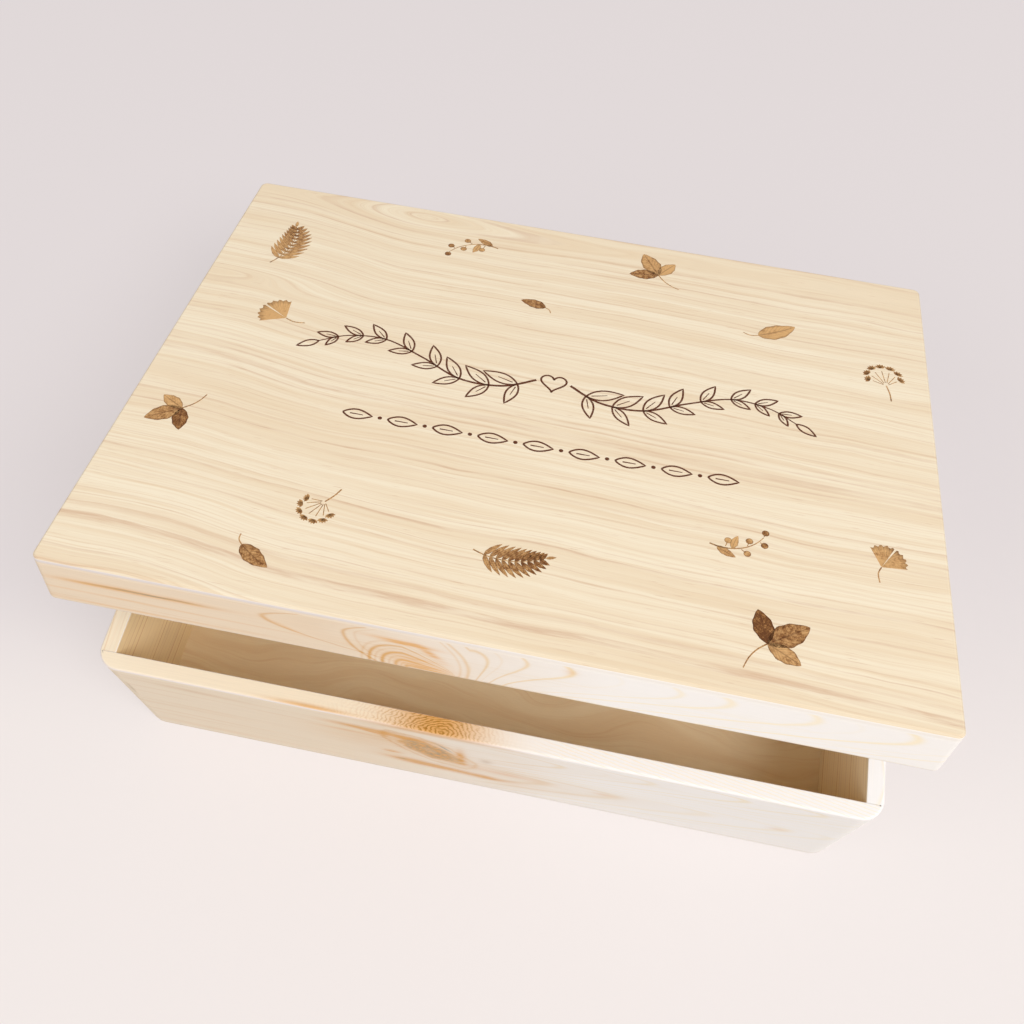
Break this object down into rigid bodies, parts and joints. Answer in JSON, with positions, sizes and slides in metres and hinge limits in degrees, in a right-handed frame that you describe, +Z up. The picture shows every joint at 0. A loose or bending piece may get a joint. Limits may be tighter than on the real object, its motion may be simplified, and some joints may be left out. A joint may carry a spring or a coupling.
{
  "type": "keepsake box",
  "caption": "Low rectangular pine box with a hinged tray lid, rounded upright corners, sanded edges and a plywood top and bottom.",
  "frame": {"origin": "centre of the underside of the case, on the surface that it stands on", "axes": "+X to the right along the front, +Y to the back where the hinges are, +Z up"},
  "size_m": [0.4, 0.3067, 0.1941],
  "materials": {
    "pine_front": "sanded, untreated",
    "pine_side": "sanded, untreated",
    "plywood": "sanded plywood",
    "printed_top": "pale smooth plywood with a printed face",
    "dowel_beech": "turned rod",
    "hinge_brass": "plated, bright",
    "pin_steel": "drawn wire",
    "screw_brass": "plated, bright"
  },
  "bodies": {
    "base": {"base_front_board": "pine_front", "base_back_board": "pine_front", "base_left_board": "pine_side", "base_right_board": "pine_side", "base_bottom_panel": "plywood", "base_corner_dowels": "dowel_beech", "left_hinge_base_leaf": "hinge_brass", "left_hinge_pin": "pin_steel", "right_hinge_base_leaf": "hinge_brass", "right_hinge_pin": "pin_steel", "hinge_screws_base": "screw_brass"},
    "lid": {"lid_front_rail": "pine_front", "lid_back_rail": "pine_front", "lid_left_rail": "pine_side", "lid_right_rail": "pine_side", "lid_top_panel": "printed_top", "lid_corner_dowels": "dowel_beech", "left_hinge_lid_leaf": "hinge_brass", "right_hinge_lid_leaf": "hinge_brass", "hinge_screws_lid": "screw_brass"}
  },
  "joints": [
    {"name": "lid_hinge", "type": "hinge", "parent": "base", "child": "lid", "pos_m": [0, 0.1492, 0.0952], "axis": [-1, 0, 0], "range_deg": [-13.5, 91.5]}
  ]
}
